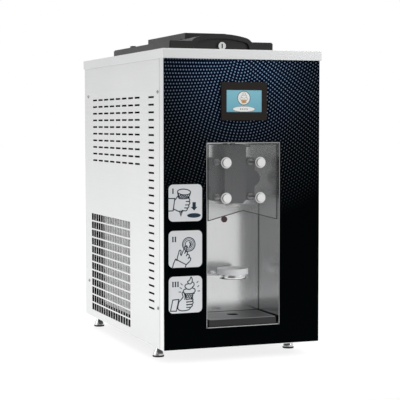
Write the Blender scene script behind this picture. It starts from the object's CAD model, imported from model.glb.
"""Looks of the soft-serve ice cream machine: materials, fine pieces, light and camera, in metres."""

import math
import random

import bmesh
import bpy
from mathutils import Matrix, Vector


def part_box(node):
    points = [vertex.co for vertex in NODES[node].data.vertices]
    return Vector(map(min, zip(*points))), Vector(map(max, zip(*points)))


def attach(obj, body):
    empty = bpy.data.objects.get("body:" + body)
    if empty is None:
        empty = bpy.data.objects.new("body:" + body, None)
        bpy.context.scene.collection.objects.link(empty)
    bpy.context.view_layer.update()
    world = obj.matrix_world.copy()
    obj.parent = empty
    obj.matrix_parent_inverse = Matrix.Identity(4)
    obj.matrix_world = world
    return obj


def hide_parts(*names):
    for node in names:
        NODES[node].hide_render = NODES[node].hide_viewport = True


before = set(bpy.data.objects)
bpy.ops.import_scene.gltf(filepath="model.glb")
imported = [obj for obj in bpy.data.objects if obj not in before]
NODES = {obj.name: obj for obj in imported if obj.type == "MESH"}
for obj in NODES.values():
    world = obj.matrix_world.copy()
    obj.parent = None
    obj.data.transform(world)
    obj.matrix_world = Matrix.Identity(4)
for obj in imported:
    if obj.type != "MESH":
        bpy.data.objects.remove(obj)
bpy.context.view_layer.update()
rng = random.Random(41)
MM = 0.001

# places on the machine, as the CAD has them
BAY_FRONT_Y = -362.5 * MM
BAY_BACK_Y = -229.5 * MM
BAY_HALF_X = 100.5 * MM
BAY_LOW_Z = 91.0 * MM
LOCK_Z = 820.5 * MM
# the sealed joint round the bay's rim starts this far from the middle of the bay's opening
JOINT_HALF_X = 102.0 * MM
JOINT_HALF_Z = 238.0 * MM
JOINT_MID_Z = 327.25 * MM


# ---------------------------------------------------------------- procedural materials


class Look:
    """A Principled material, with short ways to add procedural detail to it."""

    def __init__(self, name, color, rough, metal=0.0, **sockets):
        self.mat = bpy.data.materials.new(name)
        self.mat.use_nodes = True
        self.tree = self.mat.node_tree
        self.bsdf = next(n for n in self.tree.nodes if n.type == "BSDF_PRINCIPLED")
        self.color = color
        self.rough = rough
        self.bsdf.inputs["Base Color"].default_value = (*color, 1.0)
        self.bsdf.inputs["Roughness"].default_value = rough
        self.bsdf.inputs["Metallic"].default_value = metal
        for key, value in sockets.items():
            self.bsdf.inputs[key.replace("_", " ")].default_value = value
        self.where = self.add("ShaderNodeTexCoord").outputs
        self.last_bump = None

    def add(self, kind, **props):
        node = self.tree.nodes.new(kind)
        for key, value in props.items():
            setattr(node, key, value)
        return node

    def join(self, socket, value):
        if isinstance(value, bpy.types.NodeSocket):
            self.tree.links.new(value, socket)
        elif isinstance(value, (tuple, list)) and len(value) == 3:
            socket.default_value = (*value, 1.0) if socket.type == "RGBA" else value
        else:
            socket.default_value = value

    def calc(self, op, a, b=0.0):
        node = self.add("ShaderNodeMath", operation=op)
        self.join(node.inputs[0], a)
        self.join(node.inputs[1], b)
        return node.outputs[0]

    def span(self, value, lo, hi, to_lo=0.0, to_hi=1.0, smooth=False):
        node = self.add("ShaderNodeMapRange")
        node.interpolation_type = "SMOOTHSTEP" if smooth else "LINEAR"
        for k, v in enumerate((value, lo, hi, to_lo, to_hi)):
            self.join(node.inputs[k], v)
        return node.outputs[0]

    def mix(self, fac, a, b):
        node = self.add("ShaderNodeMix", data_type="RGBA")
        self.join(node.inputs[0], fac)
        self.join(node.inputs[6], a)
        self.join(node.inputs[7], b)
        return node.outputs[2]

    def xyz(self, socket=None):
        node = self.add("ShaderNodeSeparateXYZ")
        self.join(node.inputs[0], socket or self.where["Object"])
        return node.outputs

    def noise(self, scale, detail=2.0, rough=0.5, stretch=(1, 1, 1), shift=(0, 0, 0)):
        place = self.add("ShaderNodeMapping")
        self.join(place.inputs["Vector"], self.where["Object"])
        place.inputs["Scale"].default_value = stretch
        place.inputs["Location"].default_value = shift
        node = self.add("ShaderNodeTexNoise")
        self.join(node.inputs["Vector"], place.outputs[0])
        node.inputs["Scale"].default_value = scale
        node.inputs["Detail"].default_value = detail
        node.inputs["Roughness"].default_value = rough
        return node.outputs["Fac"]

    def cells(self, scale):
        node = self.add("ShaderNodeTexVoronoi")
        self.join(node.inputs["Vector"], self.where["Object"])
        node.inputs["Scale"].default_value = scale
        return node.outputs["Distance"]

    def paint(self, value):
        self.join(self.bsdf.inputs["Base Color"], value)
        return self

    def gloss(self, value):
        self.join(self.bsdf.inputs["Roughness"], value)
        return self

    def bump(self, height, depth, strength=1.0):
        node = self.add("ShaderNodeBump")
        node.inputs["Distance"].default_value = depth
        node.inputs["Strength"].default_value = strength
        self.join(node.inputs["Height"], height)
        if self.last_bump:
            self.join(node.inputs["Normal"], self.last_bump)
        self.last_bump = node.outputs[0]
        self.join(self.bsdf.inputs["Normal"], self.last_bump)
        return self

    def vary(self, amount, scale=9.0):
        """Gentle clouding of the colour."""
        cloud = self.noise(scale, 3.0)
        dark = tuple(c * (1 - amount) for c in self.color)
        light = tuple(min(1.0, c * (1 + amount)) for c in self.color)
        return self.paint(self.mix(self.span(cloud, 0.3, 0.7), dark, light))

    def haze(self, amount, scale=14.0):
        """Smudges and handling marks in the roughness."""
        cloud = self.noise(scale, 4.0, 0.6, shift=(3.1, 1.7, 0.4))
        return self.gloss(self.span(cloud, 0.3, 0.7, self.rough - amount, self.rough + amount))

    def far(self, a, b):
        """How far the point a, b is from 0, 0."""
        squares = self.calc("ADD", self.calc("MULTIPLY", a, a), self.calc("MULTIPLY", b, b))
        return self.calc("SQRT", squares)

    def beyond(self, value, middle, half=0.0):
        """How far a value lies outside middle - half to middle + half."""
        away = self.calc("ABSOLUTE", self.calc("SUBTRACT", value, middle))
        return self.calc("SUBTRACT", away, half)

    def blacken(self, where, tone=0.025):
        """Turns the colour dark where the first value is 1."""
        plain = self.bsdf.inputs["Base Color"].links[0].from_socket
        return self.paint(self.mix(where, plain, (tone, tone, tone)))


def brushed(name, color, rough, stretch, depth=0.00002, metal=1.0):
    """Sheet steel with a fine grain; stretch is small along the grain and large across it."""
    look = Look(name, color, rough, metal)
    grain = look.noise(1.0, 3.0, 0.7, stretch=stretch)
    cloud = look.noise(6.0, 3.0, 0.5)
    tone = look.calc("ADD", look.span(grain, 0.3, 0.7, -0.6, 0.6), look.span(cloud, 0.3, 0.7, -0.3, 0.3))
    dark = tuple(c * 0.97 for c in color)
    light = tuple(min(1.0, c * 1.025) for c in color)
    look.paint(look.mix(look.span(tone, -0.9, 0.9), dark, light))
    look.gloss(look.span(tone, -0.9, 0.9, rough - 0.025, rough + 0.03))
    look.bump(grain, depth, 0.35)
    return look


def moulded(name, color, rough, grain_mm=0.9, depth=0.00006, amount=0.05, **sockets):
    """Injection-moulded plastic with a spark-eroded grain."""
    look = Look(name, color, rough, **sockets)
    look.vary(amount)
    look.haze(0.05)
    look.bump(look.noise(1000.0 / grain_mm, 2.0, 0.6), depth, 0.5)
    return look


def cast(name, color, rough, metal, grain_mm=2.5, depth=0.0002):
    look = Look(name, color, rough, metal)
    look.vary(0.10, 20.0)
    look.haze(0.08, 30.0)
    look.bump(look.noise(1000.0 / grain_mm, 4.0, 0.6), depth, 0.5)
    return look


SIDE = brushed("side_steel", (0.785, 0.79, 0.792), 0.42, (500, 9, 500), 0.000006)
CAP = brushed("cap_steel", (0.82, 0.825, 0.83), 0.40, (9, 500, 500), 0.000002)
FRAME = brushed("frame_steel", (0.84, 0.845, 0.845), 0.33, (500, 500, 9), 0.000006)
BAY = brushed("bay_steel", (0.93, 0.935, 0.94), 0.19, (400, 400, 7), 0.000001)
TANK = brushed("tank_steel", (0.78, 0.785, 0.79), 0.25, (7, 500, 500))
BRIGHT = brushed("bright_metal", (0.88, 0.885, 0.89), 0.13, (60, 60, 60), 0.000005)
BOLT = brushed("bolt_steel", (0.34, 0.34, 0.35), 0.3, (400, 400, 400))
CHASSIS = cast("chassis_paint", (0.035, 0.036, 0.038), 0.6, 0.0)
LID = moulded("lid_black", (0.014, 0.0135, 0.013), 0.34, 1.1, 0.00006, 0.12, Specular_IOR_Level=0.36)
RUBBER = moulded("rubber", (0.025, 0.025, 0.026), 0.72, 0.7, 0.00008, 0.15)
BEZEL = moulded("bezel_dark", (0.022, 0.0165, 0.014), 0.55, 0.6, 0.00004, 0.08, Specular_IOR_Level=0.15)
KNOB = moulded("knob_white", (0.90, 0.905, 0.895), 0.32, 0.8, 0.00002, 0.015)
# only the faces of the knobs are white
knob_front = KNOB.calc("ABSOLUTE", KNOB.xyz(KNOB.where["Normal"])[1])
KNOB.blacken(KNOB.span(knob_front, 0.25, 0.6, 1.0, 0.0), 0.10)
HEAD = moulded("head_grey", (0.122, 0.123, 0.127), 0.42, 1.0, 0.00001, 0.04, Specular_IOR_Level=0.25)
RING = moulded("ring_white", (0.74, 0.745, 0.75), 0.30, 0.8, 0.00002, 0.02)
FOOD = moulded("food_plastic", (0.82, 0.82, 0.79), 0.4, 0.9, 0.00004, 0.03)
TRAY = moulded("tray_black", (0.018, 0.018, 0.019), 0.38, 0.9, 0.00005, 0.12, Specular_IOR_Level=0.35)
GRATE = brushed("grate_steel", (0.20, 0.205, 0.21), 0.38, (7, 500, 500))
SENSOR = moulded("sensor_red", (0.055, 0.005, 0.008), 0.18, 0.6, 0.00001, 0.06, Coat_Weight=0.6)
SWITCH = moulded("switch_red", (0.45, 0.012, 0.010), 0.25, 0.6, 0.00001, 0.04)
COPPER = cast("copper_pipe", (0.72, 0.36, 0.22), 0.26, 1.0, 1.2, 0.00002)
ALLOY = brushed("alloy", (0.86, 0.865, 0.87), 0.5, (500, 500, 9), metal=0.3)
BLACK_PAINT = cast("black_paint", (0.020, 0.020, 0.022), 0.34, 0.0, 4.0, 0.00012)
MOTOR = cast("motor_paint", (0.16, 0.17, 0.18), 0.42, 0.0, 3.0, 0.00015)
CAST = cast("cast_metal", (0.36, 0.36, 0.37), 0.45, 0.9, 1.8, 0.0002)
LOCK = brushed("lock_metal", (0.86, 0.865, 0.87), 0.2, (60, 60, 60), 0.000005)
FOOT = cast("foot_metal", (0.74, 0.745, 0.75), 0.24, 1.0, 2.0, 0.000008)


def seams(look, half_x, back_y, low_z):
    """Darkens the folded corners of a box of sheet steel, which is open towards -Y."""
    x, y, z = look.xyz()[:3]
    to_side = look.beyond(x, 0.0, half_x)
    to_back = look.calc("SUBTRACT", y, back_y)
    to_low = look.calc("SUBTRACT", z, low_z)
    near = look.far(to_side, to_back)
    for a, b in ((to_back, to_low), (to_side, to_low)):
        near = look.calc("MINIMUM", near, look.far(a, b))
    look.blacken(look.span(near, 1.8 * MM, 3.0 * MM, 0.55, 0.0), 0.05)


def outward(look, axes):
    """How far a face looks away from the machine's middle, in metres."""
    at = look.xyz()
    facing = look.xyz(look.where["Normal"])
    total = 0.0
    for k in axes:
        total = look.calc("ADD", total, look.calc("MULTIPLY", at[k], facing[k]))
    return total


def shade_bay():
    """Darkens the folds and outer faces, greys the rim, and blackens the joint round it."""
    seams(BAY, BAY_HALF_X, BAY_BACK_Y, BAY_LOW_Z)
    BAY.blacken(BAY.span(outward(BAY, (0,)), 0.04, 0.06))
    x, y, z = BAY.xyz()[:3]
    at_rim = BAY_FRONT_Y + 0.1 * MM
    in_joint = BAY.calc("MAXIMUM", BAY.beyond(x, 0.0, JOINT_HALF_X), BAY.beyond(z, JOINT_MID_Z, JOINT_HALF_Z))
    in_front = BAY.span(y, BAY_FRONT_Y + 0.5 * MM, at_rim)
    BAY.blacken(BAY.calc("MULTIPLY", BAY.span(in_joint, 0.0, 0.2 * MM), in_front), 0.004)
    BAY.blacken(BAY.calc("MULTIPLY", BAY.span(y, BAY_FRONT_Y + 1.5 * MM, at_rim), 0.5))


def shade_lock():
    """Darkens the keyway."""
    half_w, half_h, soft = 1.8 * MM, 6.2 * MM, 0.1 * MM
    x, _, z = LOCK.xyz()[:3]
    across = LOCK.span(LOCK.beyond(x, 0.0), half_w, half_w - soft)
    along = LOCK.span(LOCK.beyond(z, LOCK_Z), half_h, half_h - soft)
    LOCK.blacken(LOCK.calc("MULTIPLY", across, along), 0.01)


def shade_side():
    """Darkens the joint between a side panel and the front frame, and the panels' inner faces."""
    front_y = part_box("left_side_panel")[0].y
    joint = SIDE.span(SIDE.xyz()[1], front_y + 3.2 * MM, front_y + 2.4 * MM)
    SIDE.blacken(SIDE.calc("MULTIPLY", joint, 0.42), 0.10)
    SIDE.blacken(SIDE.span(outward(SIDE, (0, 1)), 0.0, -0.02))


shade_bay()
shade_lock()
shade_side()

FOAM = Look("foam", (0.022, 0.022, 0.023), 0.9, Specular_IOR_Level=0.1)
FOAM.vary(0.12, 30.0)
FOAM.bump(FOAM.cells(320.0), 0.0008, 0.6)
EDGE = Look("shield_edge", (0.035, 0.037, 0.040), 0.3, Specular_IOR_Level=0.3)
EDGE.vary(0.2, 90.0)
EDGE.bump(EDGE.noise(700.0, 2.0), 0.00004, 0.5)


def clear_plastic():
    """Clear sheet: nearly unseen on its faces, and dark on its edges."""
    plain, dark = (0.30, 0.305, 0.31), (0.03, 0.032, 0.035)
    look = Look("clear_plastic", plain, 0.06, Alpha=0.16)
    on_face = look.calc("ABSOLUTE", look.xyz(look.where["Normal"])[1])
    look.paint(look.mix(look.span(on_face, 0.5, 0.9, 1.0, 0.0), plain, dark))
    look.join(look.bsdf.inputs["Alpha"], look.span(on_face, 0.5, 0.9, 0.92, 0.15))
    look.gloss(look.span(look.noise(11.0, 4.0), 0.35, 0.7, 0.04, 0.10))
    return look


CLEAR = clear_plastic()


def dotted_fascia():
    """Rings of printed dots round a point above the screen, each with five more dots than the last."""
    ring, arms = 7.405 * MM, 5
    centre_x, centre_z = -7.7 * MM, 795.2 * MM
    look = Look("fascia_black", (0.001, 0.0015, 0.002), 0.4, Specular_IOR_Level=0.008)
    x, _, z = look.xyz()[:3]
    dx = look.calc("SUBTRACT", x, centre_x)
    dz = look.calc("SUBTRACT", z, centre_z)
    r = look.far(dx, dz)
    turns = look.calc("DIVIDE", r, ring)
    k = look.calc("ROUND", turns)
    across = look.calc("MULTIPLY", look.calc("SUBTRACT", turns, k), ring)
    angle = look.calc("ADD", look.calc("ARCTAN2", dz, dx), math.pi)
    place = look.calc("MULTIPLY", look.calc("MULTIPLY", k, angle), arms / (2 * math.pi))
    off = look.calc("SUBTRACT", place, look.calc("ROUND", place))
    along = look.calc("MULTIPLY", off, 2 * math.pi * ring / arms)
    away = look.far(across, along)
    dot = look.span(away, 2.15 * MM, 1.65 * MM, smooth=True)
    # the print fades with the distance from the middle of the rings
    fade = look.span(r, 0.10, 0.435, 1.0, 0.0)
    glow = look.span(r, 0.0, 0.30, 1.0, 0.0, smooth=True)
    warm = look.mix(glow, (0.16, 0.18, 0.23), (0.28, 0.44, 0.64))
    ground = look.mix(glow, (0.0004, 0.0012, 0.0015), (0.002, 0.007, 0.024))
    speck = look.noise(420.0, 1.0)
    ink = look.calc("MULTIPLY", dot, look.calc("MULTIPLY", fade, look.span(speck, 0.3, 0.7, 0.85, 1.0)))
    look.paint(look.mix(ink, ground, warm))
    look.gloss(look.span(look.noise(9.0, 4.0), 0.3, 0.7, 0.35, 0.5))
    look.bump(dot, 0.00003, 0.25)
    return look


FASCIA = dotted_fascia()

LABEL = Look("label_white", (0.74, 0.755, 0.775), 0.34, Coat_Weight=0.1)
LABEL.vary(0.02, 25.0)
LABEL.haze(0.05, 18.0)
LABEL.bump(LABEL.noise(900.0, 2.0), 0.00002, 0.4)
INK = Look("label_ink", (0.012, 0.030, 0.054), 0.42, Specular_IOR_Level=0.25)
INK.vary(0.15, 60.0)
INK.bump(INK.noise(1200.0, 2.0), 0.00002, 0.4)


def lit(name, color, power, amount=0.02):
    """A part of the picture on the screen: glossy glass with light behind it."""
    look = Look(name, color, 0.12, Coat_Weight=0.5, Emission_Strength=power)
    look.vary(amount, 60.0)
    look.bsdf.inputs["Emission Color"].default_value = (*color, 1.0)
    look.bump(look.noise(2200.0, 1.0), 0.000004, 0.3)
    return look


def picture_ground():
    """The lit ground of the picture on the screen, which is paler towards its top."""
    look = Look("screen_picture", (0.14, 0.37, 0.45), 0.12, Coat_Weight=0.3, Emission_Strength=0.20)
    height = look.span(look.xyz()[2], 643.0 * MM, 699.5 * MM)
    shade = look.mix(height, (0.125, 0.37, 0.47), (0.20, 0.47, 0.56))
    look.paint(shade)
    look.join(look.bsdf.inputs["Emission Color"], shade)
    look.bump(look.noise(2200.0, 1.0), 0.000004, 0.3)
    return look


SCREEN = picture_ground()
PIC_WHITE = lit("picture_white", (0.80, 0.82, 0.80), 0.15)
PIC_BROWN = lit("picture_brown", (0.24, 0.11, 0.05), 0.12, 0.15)
PIC_WAFER = lit("picture_wafer", (0.62, 0.36, 0.15), 0.15, 0.15)
PIC_DARK = lit("picture_dark", (0.025, 0.03, 0.04), 0.05)

KNOB_NODES = ["hand_knob_1", "hand_knob_2", "hand_knob_3", "hand_knob_4"]
LOOKS = {
    "base_pan": CHASSIS, "chassis_frame": CHASSIS, "left_side_panel": SIDE, "right_side_panel": SIDE,
    "rear_panel": SIDE, "top_cap": CAP, "front_frame": FRAME, "front_fascia": FASCIA, "bay_liner": BAY,
    "screen_bezel": BEZEL, "touch_screen": SCREEN, "panel_screws": BOLT, "hopper_tank": TANK,
    "feed_tube": FOOD, "foam_insulation": FOAM, "lid_shell": LID, "lid_gasket": RUBBER,
    "lid_hinge_brackets": TANK, "lid_hinge_pin": BOLT, "lid_lock": LOCK, "freezing_cylinder": TANK,
    "evaporator_coil": COPPER, "dispensing_head": HEAD, "head_studs": BOLT, "clear_shield": CLEAR,
    **{name: KNOB for name in KNOB_NODES},
    "dispensing_piston": FOOD, "piston_actuator": BLACK_PAINT, "actuator_screw": BOLT, "nozzle": FOOD,
    "cup_sensor": SENSOR, "holder_bracket": BAY, "holder_base": BRIGHT, "holder_ring": RING,
    "drip_tray": TRAY, "drip_grate": GRATE, "beater": TANK, "scraper_blades": FOOD,
    "bearing_housing": CAST, "driven_pulley": CAST, "drive_belt": RUBBER, "motor_pulley": CAST,
    "drive_motor": MOTOR, "compressor": BLACK_PAINT, "condenser": ALLOY, "fan_shroud": BLACK_PAINT,
    "condenser_fan": ALLOY, "fan_motor": MOTOR, "control_box": CHASSIS, "refrigerant_pipes": COPPER,
    "power_inlet": RUBBER, "main_switch": SWITCH,
}
# rounding of each node's edges, mm: bent sheet is tight, mouldings are softer
EDGES = {
    "lid_shell": 1.2, "dispensing_head": 1.0, **{name: 0.5 for name in KNOB_NODES}, "holder_ring": 0.8,
    "holder_base": 0.4, "drip_tray": 0.8, "screen_bezel": 0.8, "front_frame": 0.6, "top_cap": 0.7,
    "clear_shield": 0.4, "lid_lock": 0.4, "power_inlet": 0.8, "main_switch": 0.8, "nozzle": 0.4,
    "drip_grate": 0.2, "front_fascia": 0.3, "bay_liner": 0.4,
}
PLAIN_EDGES = ("left_side_panel", "right_side_panel", "rear_panel", "evaporator_coil",
               "refrigerant_pipes", "compressor", "touch_screen", "foam_insulation")


def finish_node(name):
    """Gives a CAD node its material, and rounds its edges with modifiers."""
    obj = NODES[name]
    look = LOOKS[name]
    obj.data.materials.clear()
    obj.data.materials.append(look.mat)
    if name in PLAIN_EDGES:
        return
    weld = obj.modifiers.new("weld", "WELD")
    weld.merge_threshold = 0.00001
    bevel = obj.modifiers.new("edges", "BEVEL")
    bevel.width = EDGES.get(name, 0.3) * MM
    bevel.segments = 2
    bevel.limit_method = "ANGLE"
    bevel.angle_limit = math.radians(35)
    bevel.harden_normals = True
    bevel.use_clamp_overlap = True


# ---------------------------------------------------------------- mesh pieces


class Shape:
    """Gathers geometry for one new piece; every face gets a material number."""

    def __init__(self, name):
        self.name = name
        self.bm = bmesh.new()

    def faces(self, points, loops, mat=0):
        made = [self.bm.verts.new(p) for p in points]
        for loop in loops:
            self.bm.faces.new([made[k] for k in loop]).material_index = mat

    def box(self, x, y, z, mat=0):
        pts = [(x[i], y[j], z[k]) for i in (0, 1) for j in (0, 1) for k in (0, 1)]
        sides = [(0, 1, 3, 2), (4, 6, 7, 5), (0, 4, 5, 1), (2, 3, 7, 6), (0, 2, 6, 4), (1, 5, 7, 3)]
        self.faces(pts, sides, mat)

    def bar(self, ends, mat=0):
        """A four-sided bar, from the corners of one end and then those of the other."""
        sides = [(0, 1, 2, 3), (7, 6, 5, 4), (0, 4, 5, 1), (1, 5, 6, 2), (2, 6, 7, 3), (3, 7, 4, 0)]
        self.faces(ends, sides, mat)

    def lathe(self, centre, profile, mat=0, steps=40, axis="z"):
        """Turns a profile of (radius, height) points about an axis through centre."""
        rows = []
        for r, h in profile:
            row = []
            for k in range(steps if r > 0 else 1):
                a = 2 * math.pi * k / steps
                u, v = r * math.cos(a), r * math.sin(a)
                p = (u, v, h) if axis == "z" else (u, h, v)
                row.append(self.bm.verts.new(Vector(centre) + Vector(p)))
            rows.append(row)
        for a, b in zip(rows, rows[1:]):
            for k in range(steps):
                n = (k + 1) % steps
                loop = [a[k % len(a)], a[n % len(a)], b[n % len(b)], b[k % len(b)]]
                loop = [v for i, v in enumerate(loop) if v not in loop[:i]]
                if len(loop) > 2:
                    self.bm.faces.new(loop).material_index = mat

    def slab(self, outline, y0, y1, mat=0):
        """A closed outline in X and Z, from y0 to y1."""
        n = len(outline)
        pts = [(x, y, z) for y in (y0, y1) for x, z in outline]
        loops = [tuple(range(n)), tuple(reversed(range(n, 2 * n)))]
        loops += [(k, n + k, n + (k + 1) % n, (k + 1) % n) for k in range(n)]
        self.faces(pts, loops, mat)

    def stroke(self, line, width, y0, y1, mat=0, closed=False):
        """A flat ribbon with mitred corners along a line in X and Z."""
        n = len(line)
        sides = ([], [])
        for k, p in enumerate(line):
            here = Vector(p)
            prev = Vector(line[k - 1]) if k or closed else None
            after = Vector(line[(k + 1) % n]) if k < n - 1 or closed else None
            d0 = (here - prev).normalized() if prev is not None else None
            d1 = (after - here).normalized() if after is not None else None
            d = ((d0 or d1) + (d1 or d0)).normalized()
            out = Vector((-d.y, d.x))
            reach = 1.0 / max(0.45, abs(d.dot(d1 or d0)))
            if not closed and k in (0, n - 1):
                here = here + d * (width * 0.35 * (1 if k else -1))
            sides[0].append(here + out * width * 0.5 * reach)
            sides[1].append(here - out * width * 0.5 * reach)
        pts = [(q[0], y, q[1]) for y in (y0, y1) for side in sides for q in side]
        loops = []
        for k in range(n if closed else n - 1):
            j = (k + 1) % n
            loops.append((k, j, n + j, n + k))
            loops.append((2 * n + k, 3 * n + k, 3 * n + j, 2 * n + j))
            loops.append((k, 2 * n + k, 2 * n + j, j))
            loops.append((n + k, n + j, 3 * n + j, 3 * n + k))
        if not closed:
            loops.append((0, n, 3 * n, 2 * n))
            loops.append((n - 1, 3 * n - 1, 4 * n - 1, 2 * n - 1))
        self.faces(pts, loops, mat)

    def done(self, body, looks, replaces=(), weld=True):
        if weld:
            bmesh.ops.remove_doubles(self.bm, verts=self.bm.verts, dist=1e-7)
        bmesh.ops.recalc_face_normals(self.bm, faces=self.bm.faces)
        mesh = bpy.data.meshes.new(self.name)
        self.bm.to_mesh(mesh)
        self.bm.free()
        mesh.shade_smooth()
        mesh.set_sharp_from_angle(angle=math.radians(40))
        for look in looks:
            mesh.materials.append(look.mat)
        obj = bpy.data.objects.new(self.name, mesh)
        bpy.context.scene.collection.objects.link(obj)
        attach(obj, body)
        if replaces:
            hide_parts(*replaces)
        return obj


def smooth_line(points, steps=5, closed=False):
    """Catmull-Rom curve through the points."""
    out, n = [], len(points)
    for k in range(n if closed else n - 1):
        if closed:
            p = [points[(k + i - 1) % n] for i in range(4)]
        else:
            p = [points[min(max(k + i - 1, 0), n - 1)] for i in range(4)]
        for s in range(steps):
            t = s / steps
            out.append(tuple(
                0.5 * (2 * p[1][c] + (p[2][c] - p[0][c]) * t
                       + (2 * p[0][c] - 5 * p[1][c] + 4 * p[2][c] - p[3][c]) * t * t
                       + (3 * p[1][c] - p[0][c] - 3 * p[2][c] + p[3][c]) * t ** 3)
                for c in (0, 1)))
    if not closed:
        out.append(tuple(points[-1]))
    return out


def ellipse(cx, cy, rx, ry, tilt=0.0, n=28):
    a = math.radians(tilt)
    out = []
    for k in range(n):
        u, v = rx * math.cos(2 * math.pi * k / n), ry * math.sin(2 * math.pi * k / n)
        out.append((cx + u * math.cos(a) - v * math.sin(a), cy + u * math.sin(a) + v * math.cos(a)))
    return out


def round_outline(cx, cz, w, h, r, n=8):
    out = []
    for sx, sz, a0 in ((1, 1, 0), (-1, 1, 90), (-1, -1, 180), (1, -1, 270)):
        for k in range(n + 1):
            a = math.radians(a0 + 90 * k / n)
            out.append((cx + sx * (w / 2 - r) + r * math.cos(a), cz + sz * (h / 2 - r) + r * math.sin(a)))
    return out


class Card:
    """A flat picture in the X-Z plane; its points run from 0 to 1, right and down from the top left."""

    def __init__(self, shape, left, top, w, h, face_y, raise_y):
        self.shape, self.left, self.top, self.w, self.h = shape, left, top, w, h
        self.y0, self.y1 = face_y - raise_y, face_y + raise_y * 0.5

    def at(self, points):
        return [(self.left + u * self.w, self.top - v * self.h) for u, v in points]

    def line(self, points, width, mat=1, closed=False):
        self.shape.stroke(self.at(points), width, self.y0, self.y1, mat, closed)

    def curve(self, points, width, mat=1):
        """A smooth line through the points."""
        self.line(smooth_line(points), width, mat)

    def fill(self, points, mat=1, curve=False, lift=0.0):
        if curve:
            points = smooth_line(points, closed=True)
        self.shape.slab(self.at(points), self.y0 - lift, self.y1, mat)

    def ring(self, cx, cy, rx, ry, width, tilt=0.0):
        self.line(ellipse(cx, cy, rx, ry, tilt), width, closed=True)


PEN = 2.6 * MM


def numeral(card, count, u, v, height):
    """A roman numeral with serifs."""
    stem, serif, half_serif, pitch = 3.4 * MM, 1.0 * MM, 0.022, 0.075
    for k in range(count):
        x = u + k * pitch
        card.line([(x, v), (x, v + height)], stem)
        card.line([(x - half_serif, v), (x + half_serif, v)], serif)
        card.line([(x - half_serif, v + height), (x + half_serif, v + height)], serif)


def picture_hold_cone(card):
    numeral(card, 1, 0.13, 0.12, 0.115)
    card.ring(0.46, 0.205, 0.195, 0.078, PEN, tilt=4)
    card.line([(0.268, 0.222), (0.285, 0.30), (0.312, 0.375)], PEN)
    card.line([(0.652, 0.232), (0.625, 0.30), (0.590, 0.372)], PEN)
    for k in range(6):
        u = 0.29 + k * 0.055
        card.line([(u, 0.265 + 0.012 * k), (u + 0.055, 0.365)], PEN * 0.75)
        card.line([(u + 0.06, 0.285), (u + 0.01, 0.362)], PEN * 0.75)
    card.line([(0.0, 0.372), (0.185, 0.375), (0.135, 0.705), (0.0, 0.712)], PEN)
    card.curve([(0.178, 0.425), (0.235, 0.365), (0.275, 0.318), (0.312, 0.375)], PEN)
    card.curve([(0.312, 0.375), (0.40, 0.388), (0.50, 0.388), (0.59, 0.375), (0.628, 0.42), (0.612, 0.458),
                (0.52, 0.462)], PEN)
    card.curve([(0.612, 0.462), (0.632, 0.505), (0.602, 0.552), (0.50, 0.556)], PEN)
    card.curve([(0.602, 0.556), (0.600, 0.610), (0.562, 0.638), (0.475, 0.634)], PEN)
    card.curve([(0.562, 0.640), (0.545, 0.695), (0.50, 0.715), (0.40, 0.702)], PEN)
    card.curve([(0.135, 0.655), (0.22, 0.690), (0.30, 0.722), (0.44, 0.716)], PEN)
    card.line([(0.325, 0.728), (0.365, 0.845), (0.405, 0.735)], PEN)
    card.line([(0.345, 0.785), (0.385, 0.735)], PEN * 0.8)
    card.fill([(0.71, 0.485), (0.81, 0.485), (0.81, 0.615), (0.858, 0.615), (0.76, 0.712), (0.662, 0.615),
               (0.71, 0.615)])
    card.fill(ellipse(0.755, 0.845, 0.205, 0.062))


def picture_press(card):
    numeral(card, 2, 0.125, 0.17, 0.12)
    card.ring(0.60, 0.375, 0.188, 0.185, PEN)
    card.ring(0.60, 0.375, 0.150, 0.147, PEN * 0.6)
    card.ring(0.60, 0.375, 0.105, 0.102, PEN * 0.8)
    card.fill([(0.60, 0.300), (0.655, 0.325), (0.680, 0.375), (0.655, 0.430), (0.60, 0.452), (0.632, 0.375)],
              curve=True)
    card.curve([(0.245, 0.80), (0.265, 0.70), (0.298, 0.60), (0.312, 0.545), (0.345, 0.525), (0.368, 0.555),
                (0.352, 0.640), (0.372, 0.672)], PEN)
    card.curve([(0.372, 0.672), (0.43, 0.545), (0.492, 0.432), (0.530, 0.412), (0.552, 0.445), (0.515, 0.535),
                (0.475, 0.615)], PEN)
    card.curve([(0.475, 0.615), (0.515, 0.570), (0.552, 0.575), (0.560, 0.612), (0.525, 0.688)], PEN)
    card.curve([(0.540, 0.655), (0.580, 0.648), (0.612, 0.672), (0.612, 0.712), (0.578, 0.760)], PEN)
    card.curve([(0.600, 0.735), (0.632, 0.738), (0.655, 0.765), (0.645, 0.815), (0.600, 0.862)], PEN)
    card.line([(0.245, 0.80), (0.205, 0.765), (0.145, 0.875), (0.115, 0.985)], PEN)
    card.line([(0.205, 0.765), (0.52, 0.925)], PEN)
    card.line([(0.600, 0.862), (0.560, 0.895), (0.52, 0.925), (0.495, 0.985)], PEN)


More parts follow.
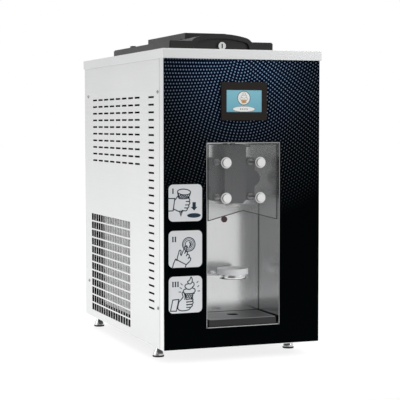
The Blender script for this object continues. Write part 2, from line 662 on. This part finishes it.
def picture_serve(card):
    numeral(card, 3, 0.125, 0.15, 0.12)
    card.curve([(0.49, 0.475), (0.435, 0.43), (0.455, 0.362), (0.525, 0.342), (0.482, 0.282), (0.515, 0.222),
                (0.588, 0.205), (0.560, 0.150), (0.622, 0.112), (0.665, 0.028), (0.705, 0.098), (0.700, 0.158),
                (0.748, 0.192), (0.755, 0.258), (0.705, 0.318), (0.775, 0.358), (0.785, 0.425), (0.722, 0.475)],
               PEN)
    card.curve([(0.525, 0.342), (0.62, 0.362), (0.705, 0.318)], PEN)
    card.curve([(0.588, 0.205), (0.655, 0.212), (0.700, 0.158)], PEN)
    card.line([(0.462, 0.478), (0.762, 0.478)], PEN)
    card.line([(0.492, 0.478), (0.525, 0.625)], PEN)
    card.line([(0.728, 0.478), (0.690, 0.640)], PEN)
    for k in range(4):
        u = 0.51 + k * 0.05
        card.line([(u, 0.49), (u + 0.06, 0.60)], PEN * 0.7)
        card.line([(u + 0.055, 0.49), (u + 0.01, 0.60)], PEN * 0.7)
    card.curve([(0.425, 0.425), (0.398, 0.462), (0.425, 0.560), (0.355, 0.640), (0.300, 0.700),
                (0.262, 0.870)], PEN)
    card.curve([(0.425, 0.425), (0.462, 0.455), (0.485, 0.560), (0.478, 0.632)], PEN)
    for k, (u, v) in enumerate([(0.700, 0.640), (0.705, 0.715), (0.680, 0.790)]):
        card.curve([(0.52 + 0.01 * k, v - 0.005), (u, v - 0.018), (u + 0.022, v + 0.025),
                    (u - 0.03, v + 0.058), (0.53, v + 0.060)], PEN)
    card.curve([(0.262, 0.870), (0.335, 0.925), (0.46, 0.938), (0.60, 0.912), (0.655, 0.850)], PEN)
    card.line([(0.300, 0.620), (0.120, 0.632), (0.050, 0.930), (0.225, 0.938)], PEN)
    card.line([(0.300, 0.620), (0.225, 0.938)], PEN)
    for u0, v0, u1, v1 in ((0.33, 0.30, 0.385, 0.335), (0.30, 0.42, 0.36, 0.425), (0.36, 0.19, 0.405, 0.235),
                           (0.86, 0.30, 0.905, 0.268), (0.87, 0.42, 0.93, 0.415), (0.84, 0.19, 0.88, 0.15)):
        card.line([(u0, v0), (u1, v1)], PEN * 0.8)


def make_labels():
    """The three instruction labels: cards with softened edges and a drawing on each."""
    lo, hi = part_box("instruction_labels")
    w, h, corner = 90.5 * MM, 94 * MM, 12 * MM
    soft, inset = 0.1 * MM, 0.25 * MM
    mid_x = (lo.x + hi.x) / 2
    for name, mid_z, draw in (("label_three", 0.179, picture_serve), ("label_two", 0.2955, picture_press),
                              ("label_one", 0.413, picture_hold_cone)):
        shape = Shape(name)
        shape.slab(round_outline(mid_x, mid_z, w, h, corner), lo.y + soft, hi.y)
        shape.slab(round_outline(mid_x, mid_z, w - 2 * inset, h - 2 * inset, corner - inset), lo.y, lo.y + soft)
        draw(Card(shape, mid_x - w / 2, mid_z + h / 2, w, h, lo.y, 0.08 * MM))
        shape.done("cabinet", [LABEL, INK], ["instruction_labels"], weld=False)


def make_screen_picture():
    """The picture on the touch screen: a cone in an oval over a flat button."""
    x0, x1, z0, z1 = -48.6 * MM, 48.6 * MM, 643.3 * MM, 699.2 * MM
    face = -367.5 * MM
    shape = Shape("screen_picture")
    card = Card(shape, x0, z1, x1 - x0, z1 - z0, face, 0.05 * MM)
    card.fill(ellipse(0.49, 0.36, 0.185, 0.325), 1)
    card.fill(ellipse(0.49, 0.36, 0.170, 0.298), 0, lift=0.03 * MM)
    card.fill([(0.405, 0.46), (0.575, 0.46), (0.535, 0.60), (0.445, 0.60)], 3, lift=0.05 * MM)
    top = Card(shape, x0, z1, x1 - x0, z1 - z0, face - 0.06 * MM, 0.04 * MM)
    for k in range(4):
        u = 0.425 + k * 0.04
        top.line([(u, 0.475), (u + 0.02, 0.585)], 0.5 * MM, 2)
        top.line([(u + 0.02, 0.475), (u, 0.585)], 0.5 * MM, 2)
    swirl = [(0.40, 0.455), (0.372, 0.405), (0.395, 0.355), (0.430, 0.335), (0.412, 0.285), (0.440, 0.235),
             (0.470, 0.215), (0.455, 0.165), (0.492, 0.112), (0.530, 0.150), (0.522, 0.205), (0.560, 0.240),
             (0.565, 0.300), (0.545, 0.335), (0.592, 0.360), (0.605, 0.410), (0.575, 0.455)]
    top.curve(swirl, 0.9 * MM, 2)
    top.line([(0.40, 0.455), (0.575, 0.455)], 0.9 * MM, 2)
    top.curve([(0.430, 0.335), (0.49, 0.375), (0.545, 0.335)], 0.7 * MM, 2)
    top.curve([(0.470, 0.215), (0.50, 0.245), (0.522, 0.205)], 0.7 * MM, 2)
    top.curve([(0.41, 0.405), (0.49, 0.43), (0.565, 0.405)], 0.6 * MM, 3)
    card.fill(ellipse(0.49, 0.865, 0.325, 0.132), 2)
    card.fill(ellipse(0.49, 0.865, 0.312, 0.118), 0, lift=0.03 * MM)
    for u in (0.40, 0.46, 0.52, 0.58):
        top.fill(ellipse(u, 0.865, 0.016, 0.03, n=12), 1)
    shape.done("cabinet", [PIC_WHITE, PIC_DARK, PIC_BROWN, PIC_WAFER], weld=False)


def make_shield_edge():
    """The sawn edge of the clear shield, which shows as a dark line."""
    half_x, side_z, point_z, top_z = 96.2 * MM, 365.2 * MM, 389.8 * MM, 560.7 * MM
    front_y, back_y = -360.6 * MM, -356.4 * MM
    edge = [(-half_x, side_z), (0, point_z), (half_x, side_z), (half_x, top_z), (-half_x, top_z)]
    shape = Shape("shield_edge")
    shape.stroke(edge, 1.7 * MM, front_y, back_y, closed=True)
    shape.done("shield", [EDGE])


# outlines of a levelling foot, as (radius, height) in mm
FOOT_PAD = [(0, 0), (14.2, 0), (15.2, 0.5), (15.5, 1.3), (15.5, 3.4), (15.1, 4.2), (14.2, 4.6), (12, 4.7),
            (0, 4.7)]
FOOT_CUP = [(0, 4.4), (14.0, 4.4), (14.4, 4.8), (14.3, 5.6), (14.0, 8.0), (13.2, 10.6), (12.1, 13.2),
            (10.7, 15.9), (9.2, 18.6), (8.0, 21.2), (7.0, 24.0), (6.6, 26.2), (6.4, 27.6), (0, 27.6)]


def thread_outline():
    """A foot's stem, with rings for its thread."""
    root, crest, pitch, turns = 4.45, 4.95, 1.25, 26
    outline = [(0, 27.0)]
    for k in range(turns):
        h = 27.2 + k * pitch
        outline += [(root, h), (crest, h + 0.4), (crest, h + 0.55), (root, h + 0.95)]
    return outline + [(4.4, 59.4), (3.8, 60.0), (0, 60.0)]


def hex_nut(shape, x, y, low, high, mat):
    """A nut with chamfered corners; low and high are heights in mm."""
    wide, narrow, chamfer = 9.0 * MM, 8.3 * MM, 0.6
    levels = ((narrow, low), (wide, low + chamfer), (wide, high - chamfer), (narrow, high))
    for k in range(6):
        turn = (math.radians(60 * k), math.radians(60 * (k + 1)))
        pts = [(x + r * math.cos(a), y + r * math.sin(a), h * MM) for r, h in levels for a in turn]
        pts += [(x, y, low * MM), (x, y, high * MM)]
        shape.faces(pts, [(0, 1, 3, 2), (2, 3, 5, 4), (4, 5, 7, 6), (8, 1, 0), (9, 6, 7)], mat)


def make_feet():
    """Levelling feet: rubber pad, pressed cup, lock nut and a threaded stem."""
    for corner in ("front_left", "front_right", "rear_left", "rear_right"):
        node = "foot_" + corner
        lo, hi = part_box(node)
        x, y = (lo.x + hi.x) / 2, (lo.y + hi.y) / 2
        shape = Shape("levelling_" + node)

        def turn(outline, mat, steps=40):
            shape.lathe((x, y, 0.0), [(r * MM, h * MM) for r, h in outline], mat, steps)

        turn(FOOT_PAD, 0)
        turn(FOOT_CUP, 1)
        hex_nut(shape, x, y, 27.6, 34.2, 2)
        turn(thread_outline(), 2, 24)
        shape.done(node, [RUBBER, FOOT, BOLT], [node])


def make_louvres():
    """Flaps pressed inwards behind the rear panel's vents, which let air through but not light."""
    shape = Shape("rear_louvres")
    inner_y, thick = 363.25, 0.8

    def flap(x0, x1, z, deep, high):
        top, low = z + high / 2, z - high / 2
        cut = [(inner_y, top), (inner_y - deep, low), (inner_y - deep + thick, low), (inner_y, top - thick)]
        shape.bar([(x * MM, v * MM, w * MM) for x in (x0, x1) for v, w in cut])

    slot_rows, slot_top, slot_pitch = 8, 330, 24.5
    for row in range(slot_rows):
        flap(-187, 53, slot_top - slot_pitch * row, 11, 23)
    vent_rows, vent_top, vent_pitch = 18, 690, 19.6
    columns, column_pitch, half_vent = 6, 57.5, 22
    for row in range(vent_rows):
        for col in range(columns):
            mid = (col - (columns - 1) / 2) * column_pitch
            flap(mid - half_vent, mid + half_vent, vent_top - vent_pitch * row, 5, 8)
    shape.done("cabinet", [SIDE], weld=False)


def make_condenser():
    """Condenser: a pack of fins on straight runs of tube between two end plates on legs."""
    shape = Shape("condenser_core")
    x0, x1, z0, z1 = -205 * MM, -165 * MM, 80 * MM, 350 * MM
    y0, y1 = -75 * MM, 205 * MM
    plate, leg_z, plate_z = 2 * MM, 38.2 * MM, 58 * MM
    for y in (y0, y1 - plate):
        shape.box((x0, x1), (y, y + plate), (plate_z, z1), 1)
        shape.box((x0 + 8 * MM, x1), (y, y + plate), (leg_z, plate_z), 1)
    fins, thick = 104, 0.8 * MM
    front, back = x0 + 2 * MM, x1 - 2 * MM
    low, high = z0 + 4 * MM, z1 - 4 * MM
    for k in range(fins):
        y = y0 + 5 * MM + k * (y1 - y0 - 12 * MM) / (fins - 1)
        lean = rng.uniform(-0.15, 0.15) * MM
        near = [(front, y + lean, low), (back, y, low), (back, y, high), (front, y - lean, high)]
        shape.bar(near + [(x, v + thick, z) for x, v, z in near])
    runs, tube_r, end = 6, 4.5 * MM, 6 * MM
    tube = [(0, y0 - end), (tube_r, y0 - end), (tube_r, y1 + end), (0, y1 + end)]
    for k in range(runs):
        z = z0 + (k + 0.5) * (z1 - z0) / runs
        shape.lathe(((x0 + x1) / 2, 0, z), tube, 2, 16, "y")
    shape.done("cabinet", [ALLOY, TANK, COPPER], ["condenser"], weld=False)


for node_name in LOOKS:
    finish_node(node_name)
make_labels()
make_screen_picture()
make_shield_edge()
make_feet()
make_louvres()
make_condenser()

# ---------------------------------------------------------------- camera, floor and light

cam_data = bpy.data.cameras.new("camera")
cam_data.lens = 116.1
cam_data.sensor_width = 36.0
cam_data.clip_end = 60.0
camera = bpy.data.objects.new("camera", cam_data)
camera.location = (-1.2825, -3.4286, 0.6101)
camera.rotation_euler = (math.radians(90 - 3.327), math.radians(0.04), math.radians(-20.773))
bpy.context.scene.collection.objects.link(camera)
bpy.context.scene.camera = camera


def plain_floor():
    """A pale floor that mostly glows, and ends a short way in front of the machine."""
    reach, front_y = 30.0, -0.90
    look = Look("floor_pale", (0.30, 0.30, 0.30), 0.6, Emission_Strength=0.80)
    look.bsdf.inputs["Emission Color"].default_value = (1, 1, 1, 1)
    cloud = look.span(look.noise(3.0, 2.0), 0.3, 0.7)
    look.paint(look.mix(cloud, (0.295, 0.295, 0.295), (0.305, 0.305, 0.305)))
    look.bump(look.noise(300.0, 2.0), 0.00005, 0.3)
    mesh = bpy.data.meshes.new("floor")
    corners = [(-reach, front_y, 0), (reach, front_y, 0), (reach, reach, 0), (-reach, reach, 0)]
    mesh.from_pydata(corners, [], [(0, 1, 2, 3)])
    mesh.materials.append(look.mat)
    floor = bpy.data.objects.new("floor", mesh)
    bpy.context.scene.collection.objects.link(floor)


def area(name, place, aim, side, power):
    """A square lamp at place, turned towards aim."""
    data = bpy.data.lights.new(name, "AREA")
    data.shape = "RECTANGLE"
    data.size = data.size_y = side
    data.energy = power
    obj = bpy.data.objects.new(name, data)
    obj.location = place
    obj.rotation_euler = (Vector(aim) - Vector(place)).to_track_quat("-Z", "Y").to_euler()
    bpy.context.scene.collection.objects.link(obj)


def studio():
    """White where the camera sees past the machine, a soft grey room for everything else, and lamps."""
    world = bpy.data.worlds.new("studio")
    bpy.context.scene.world = world
    world.use_nodes = True
    tree = world.node_tree
    tree.nodes.clear()

    def add(kind, inputs, **props):
        """Adds a node: an input that is a socket is linked, and any other is set."""
        node = tree.nodes.new("ShaderNode" + kind)
        for key, value in props.items():
            setattr(node, key, value)
        for k, value in inputs.items():
            if isinstance(value, bpy.types.NodeSocket):
                tree.links.new(value, node.inputs[k])
            else:
                node.inputs[k].default_value = value
        return node.outputs

    way = add("TexCoord", {})["Generated"]
    height = add("SeparateXYZ", {0: way})[2]
    room = add("MapRange", {0: height, 1: -1.0, 2: 1.0, 3: 0.70, 4: 0.90})[0]
    # the wall behind the camera is dark
    toward = add("VectorMath", {0: way, 1: (-0.60, -0.80, -0.03)}, operation="DOT_PRODUCT")["Value"]
    dim = add("MapRange", {0: toward, 1: 0.72, 2: 0.95, 3: 1.0, 4: 0.27}, interpolation_type="SMOOTHSTEP")[0]
    around = add("Background", {1: add("Math", {0: room, 1: dim}, operation="MULTIPLY")[0]})[0]
    seen = add("Background", {0: (1, 1, 1, 1), 1: 1.0})[0]
    by_camera = add("LightPath", {})["Is Camera Ray"]
    add("OutputWorld", {0: add("MixShader", {0: by_camera, 1: around, 2: seen})[0]})

    area("key", (2.8, -3.2, 2.6), (0, -0.2, 0.45), 2.2, 44)
    area("left", (-3.4, 1.0, 1.5), (0, 0, 0.45), 2.4, 28)
    area("top", (0.0, 0.2, 3.6), (0, 0, 0.4), 3.0, 40)


plain_floor()
studio()
bpy.context.scene.view_settings.view_transform = "Standard"
bpy.context.scene.view_settings.look = "None"
